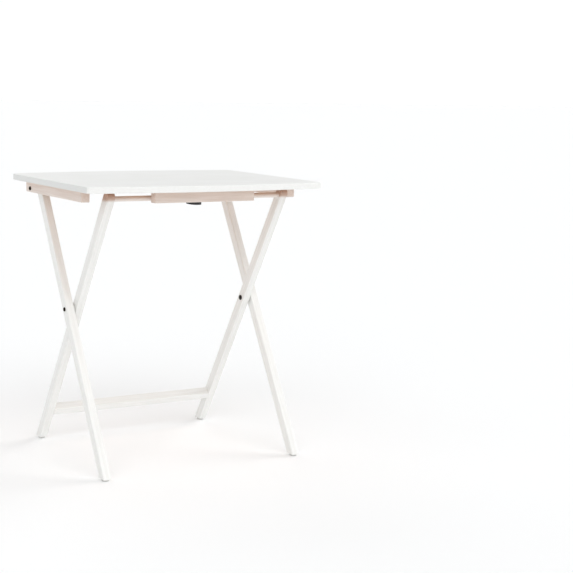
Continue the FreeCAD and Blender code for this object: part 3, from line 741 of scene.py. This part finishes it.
def painted_board():
    """The top: smooth white lacquer above, duller on the edges, with painted shade on the short sides' edges,
    and raw brown fibreboard below.
    """
    shader = Shader("painted_board")
    x, y, z = shader.axes()
    # How far inside the outline a point of the underside lies, with the long sides' bow as a parabola
    side = shader.math("SUBTRACT", TOP_HALF_WIDTH, shader.math("ABSOLUTE", x))
    along = shader.math("DIVIDE", x, TOP_HALF_WIDTH)
    edge_y = shader.math("MULTIPLY_ADD", shader.math("MULTIPLY", along, along), -TOP_BOW, TOP_HALF_DEPTH)
    inside = shader.math("MINIMUM", side, shader.math("SUBTRACT", edge_y, shader.math("ABSOLUTE", y)))
    wander = shader.noise(shader.placed(), 60.0, detail=4.0, roughness=0.7)
    overspray = shader.math("MULTIPLY_ADD", wander, 5.0 * MM, -1.2 * MM)
    bare = shader.ramp(shader.math("SUBTRACT", inside, overspray), 0.0, 1.6 * MM)
    below = shader.ramp(z, UNDERSIDE_Z + 0.5 * MM, UNDERSIDE_Z + 0.25 * MM)
    bare = shader.math("MULTIPLY", bare, below)

    fibres = shader.noise(shader.placed(), 420.0, detail=5.0, roughness=0.72)
    speckle = shader.noise(shader.placed(), 1500.0, detail=2.0, roughness=0.8)
    clouds = shader.noise(shader.placed(), 7.0, detail=3.0)
    board = shader.mix(shader.ramp(fibres, 0.35, 0.68), BOARD_DARK, BOARD_LIGHT)
    board = shader.touch(board, BOARD_SPECKS, shader.ramp(speckle, 0.62, 0.75), 0.6)
    board = shader.touch(board, BOARD_DUST, clouds, 0.35)

    haze = shader.noise(shader.placed(), 9.0, detail=2.0)
    white = shader.touch(WHITE_PAINT, PAINT_IN_PORES, haze, 0.3)
    on_edge = shader.ramp(z, TOP_HIGH[2] - 0.3 * MM, TOP_HIGH[2] - 1.6 * MM)
    soaked = shader.noise(shader.placed(scale=(1.0, 1.0, 4.0)), 110.0, detail=4.0, roughness=0.6)
    dull = shader.touch(EDGE_PAINT, PAINT_IN_PORES, shader.ramp(soaked, 0.3, 0.7), 0.35)
    # Painted shade: the short sides' edges are made darker than the long sides'.
    dull = shader.mix(shader.ramp(side, 0.6 * MM, 0.2 * MM), dull, SHORT_SIDE_PAINT_AND_SHADE)
    white = shader.mix(on_edge, white, dull)
    white = shader.touch(white, PAINT_ON_EDGES, shader.edges(1.0 * MM), 0.3)
    shader.set(Base_Color=shader.mix(bare, white, board))

    peel = shader.noise(shader.placed(), 520.0, detail=2.5)
    ripple = shader.noise(shader.placed(), 45.0, detail=2.0)
    relief = shader.bump(ripple, 0.08, 0.3 * MM)
    relief = shader.bump(peel, 0.20, 0.05 * MM, relief)
    relief = shader.bump(shader.math("MULTIPLY", soaked, on_edge), 0.2, 0.06 * MM, relief)
    relief = shader.bump(shader.math("MULTIPLY", fibres, bare), 0.5, 0.18 * MM, relief)
    satin = shader.ramp(haze, 0.2, 0.8, 0.36, 0.44)
    shader.set(Roughness=shader.math("MULTIPLY_ADD", bare, 0.42, satin), Normal=relief)
    shader.set(Specular_IOR_Level=0.45)
    return shader.material


def raw_wood():
    """Unpainted beech pins."""
    shader = Shader("raw_wood")
    pores, bands = grain_heights(shader, (0, 0, 0), 0)
    base = shader.mix(shader.ramp(bands, 0.35, 0.65), BEECH, BEECH_BANDS)
    base = shader.mix(shader.ramp(pores, 0.38, 0.30), base, BEECH_PORES)
    shader.set(Base_Color=base, Roughness=0.65, Normal=shader.bump(pores, 0.4, 0.1 * MM))
    return shader.material


def metal(name, light, dark, roughness, worn):
    """Plated steel with a fine grit, darker blotches and edges rubbed to a brighter tone."""
    shader = Shader(name)
    blotch = shader.noise(shader.placed(), 260.0, detail=4.0, roughness=0.65)
    grit = shader.noise(shader.placed(), 2600.0, detail=2.0)
    base = shader.mix(shader.ramp(blotch, 0.35, 0.7), dark, light)
    base = shader.touch(base, worn, shader.edges(0.35 * MM), 0.7)
    shader.set(Base_Color=base, Metallic=1.0)
    shader.set(Roughness=shader.ramp(blotch, 0.3, 0.7, roughness, roughness + 0.16))
    shader.set(Normal=shader.bump(grit, 0.25, 0.02 * MM))
    return shader.material


def plastic(name, light, dark, roughness, texture):
    """Moulded plastic with a faint spark-eroded texture and lightly rubbed edges."""
    shader = Shader(name)
    grain = shader.noise(shader.placed(), 2200.0, detail=2.0)
    cloud = shader.noise(shader.placed(), 90.0, detail=3.0)
    base = shader.mix(shader.ramp(cloud, 0.3, 0.7), light, dark)
    base = shader.touch(base, RUBBED_PLASTIC, shader.edges(0.4 * MM), 0.25)
    shader.set(Base_Color=base, Roughness=shader.ramp(cloud, 0.3, 0.7, roughness, roughness + 0.12))
    shader.set(Normal=shader.bump(grain, texture, 0.03 * MM))
    shader.set(Specular_IOR_Level=0.5)
    return shader.material


def dress(names, material):
    """Gives carried-over nodes their material."""
    for name in names:
        node = frame["nodes"][name]
        node.data.materials.clear()
        node.data.materials.append(material)


def dress_wood():
    """White legs and top, and rails and dowel in a thinner, warmer coat of the same white, darkened and
    warmed further as painted shade for the shade and brown bounce light under the top.
    """
    dress(["left_outer_leg", "right_outer_leg"], painted_wood("paint_leaning_back", (LEG_LEAN, 0, 0), 2))
    inner = painted_wood("paint_leaning_forward", (-LEG_LEAN, 0, 0), 2, painted_shade_z=CROWN_Z - 22.0 * MM)
    dress(["left_inner_leg", "right_inner_leg"], inner)
    dress(["stretcher"], painted_wood("paint_across", (0, 0, 0), 0))
    # Rails and dowel: their warmer, darker white is partly painted shade, for the shade and brown bounce
    # under the top.
    rail_paint_and_shade = {"paint": RAIL_PAINT_AND_SHADE, "in_pores": RAIL_PORES_AND_SHADE, "cover": 0.8}
    dress(["stop_block", "lock_dowel"], painted_wood("rail_paint_and_shade_across", (0, 0, 0), 0, **rail_paint_and_shade))
    dress(["left_cleat", "right_cleat"], painted_wood("rail_paint_and_shade_along", (0, 0, 0), 1, **rail_paint_and_shade))
    dress(["top_panel"], painted_board())


# ---- Studio ----

FLOOR_HALF = 40.0
FLOOR_WHITE = (0.94, 0.94, 0.94, 1.0)
WHITE = (1.0, 1.0, 1.0, 1.0)
FLOOR_GLOW = 0.05

# The studio's strength overhead and near the horizon, and how high a direction points where each begins
OVERHEAD, HORIZON = 0.42, 1.01
OVERHEAD_Z, HORIZON_Z = 0.42, 0.08

# Soft lamps by name: azimuth and elevation in degrees of the way they come from, and strength.
# Azimuth 0 is the table's right, and -90 its front.
LAMPS = {
    "front_lamp": (-90.0, 45.0, 0.69),
    "low_front_lamp": (-90.0, 20.0, 0.13),
    "front_left_lamp": (-135.0, 35.0, 0.52),
    "left_lamp": (180.0, 50.0, 0.19),
    "right_lamp": (0.0, 30.0, 1.14),
    "back_lamp": (90.0, 35.0, 0.35),
}
LAMP_SPREAD = math.radians(40.0)
LAMP_COLOUR = (0.985, 1.0, 1.01)  # slightly cool, against the warm light off the brown underside


def camera():
    """The camera, with a shift because its optical axis doesn't meet the middle of the picture."""
    data = bpy.data.cameras.new("camera")
    data.sensor_width = SENSOR_WIDTH
    data.lens = CAMERA_LENS
    data.shift_x, data.shift_y = CAMERA_SHIFT
    data.dof.use_dof = False
    eye = bpy.data.objects.new("camera", data)
    bpy.context.scene.collection.objects.link(eye)
    forward = Vector((math.sin(CAMERA_YAW) * math.cos(CAMERA_PITCH),
                      math.cos(CAMERA_YAW) * math.cos(CAMERA_PITCH), math.sin(CAMERA_PITCH)))
    level = Vector((math.cos(CAMERA_YAW), -math.sin(CAMERA_YAW), 0.0))
    right = level * math.cos(CAMERA_ROLL) + level.cross(forward) * math.sin(CAMERA_ROLL)
    up = right.cross(forward)
    turn = Matrix((right, up, -forward)).transposed()
    eye.matrix_world = Matrix.Translation(CAMERA_PLACE) @ turn.to_4x4()
    bpy.context.scene.camera = eye


def floor():
    """A wide pale paper floor, bright enough to run into the white studio behind it."""
    mesh = bpy.data.meshes.new("floor")
    half = FLOOR_HALF
    corners = [(-half, -half, 0), (half, -half, 0), (half, half, 0), (-half, half, 0)]
    mesh.from_pydata(corners, [], [(0, 1, 2, 3)])
    sheet = bpy.data.objects.new("floor", mesh)
    bpy.context.scene.collection.objects.link(sheet)
    shader = Shader("floor_paper")
    shader.set(Base_Color=FLOOR_WHITE, Roughness=0.9, Specular_IOR_Level=0.1)
    shader.set(Emission_Color=WHITE, Emission_Strength=FLOOR_GLOW)
    mesh.materials.append(shader.material)


def studio():
    """White surroundings that are brightest near the horizon."""
    world = bpy.data.worlds.new("studio")
    world.use_nodes = True
    nodes, links = world.node_tree.nodes, world.node_tree.links
    background = nodes["Background"]
    background.inputs["Color"].default_value = WHITE
    split = nodes.new("ShaderNodeSeparateXYZ")
    links.new(nodes.new("ShaderNodeTexCoord").outputs["Generated"], split.inputs[0])
    band = nodes.new("ShaderNodeMapRange")
    band.interpolation_type = "SMOOTHSTEP"
    for name, value in (("From Min", OVERHEAD_Z), ("From Max", HORIZON_Z),
                        ("To Min", OVERHEAD), ("To Max", HORIZON)):
        band.inputs[name].default_value = value
    links.new(split.outputs["Z"], band.inputs["Value"])
    links.new(band.outputs[0], background.inputs["Strength"])
    bpy.context.scene.world = world


def lamps():
    """The soft lamps, as wide suns."""
    for name, (azimuth, elevation, strength) in LAMPS.items():
        azimuth, elevation = math.radians(azimuth), math.radians(elevation)
        data = bpy.data.lights.new(name, "SUN")
        data.energy = strength
        data.color = LAMP_COLOUR
        data.angle = LAMP_SPREAD
        lamp = bpy.data.objects.new(name, data)
        bpy.context.scene.collection.objects.link(lamp)
        towards = around(math.cos(elevation), azimuth, math.sin(elevation))
        lamp.rotation_euler = (-towards).to_track_quat("-Z", "Y").to_euler()


bronze = metal("dark_bronze", light=colour(52, 42, 32), dark=colour(24, 19, 15), roughness=0.34,
               worn=colour(120, 98, 66))
zinc = metal("bright_zinc", light=colour(196, 194, 186), dark=colour(150, 148, 142), roughness=0.28,
             worn=colour(226, 224, 218))
pale = plastic("pale_plastic", light=colour(222, 222, 219), dark=colour(206, 206, 203), roughness=0.45,
               texture=0.3)
black = plastic("black_plastic", light=colour(16, 16, 17), dark=colour(26, 26, 27), roughness=0.3,
                texture=0.4)
dress_wood()
add_bolts(bronze)
add_rings(zinc, pale)
add_screws(zinc)
add_feet(pale, zinc)
add_wood_pins(raw_wood(), painted_wood("paint_on_brads", (0, 0, 0), 2))
add_piece("turn_latch_moulded", turn_latch(), black, "latch", "black_plastic", "turn_latch")
camera()
floor()
studio()
lamps()
bpy.context.scene.view_settings.view_transform = "Standard"
